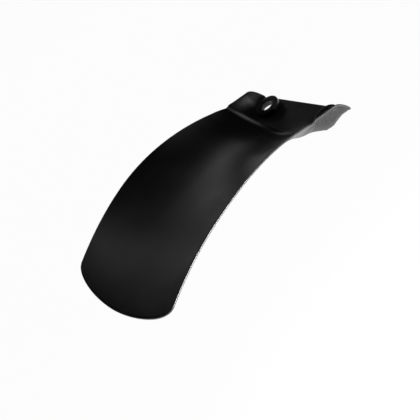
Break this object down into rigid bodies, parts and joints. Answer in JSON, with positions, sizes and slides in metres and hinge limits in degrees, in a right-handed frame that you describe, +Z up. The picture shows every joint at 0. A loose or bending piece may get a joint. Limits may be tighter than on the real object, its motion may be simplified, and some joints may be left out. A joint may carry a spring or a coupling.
{
  "type": "shock absorber mud flap",
  "caption": "Arched, trough-shaped moulded rubber flap with a rounded lip, side walls rising into ears, and a sunk mounting panel with hollow bolt bosses.",
  "frame": {"origin": "centre of the flap's footprint, at the level it rests on", "axes": "+X across the flap, +Y from the rounded lip to the mounting end, +Z up, away from the surface it lies on, with the arched side up"},
  "size_m": [0.1212, 0.2104, 0.037],
  "materials": {
    "rubber": "black moulded rubber with a satin sheen"
  },
  "bodies": {
    "root": {"mud_flap": "rubber"}
  },
  "joints": []
}
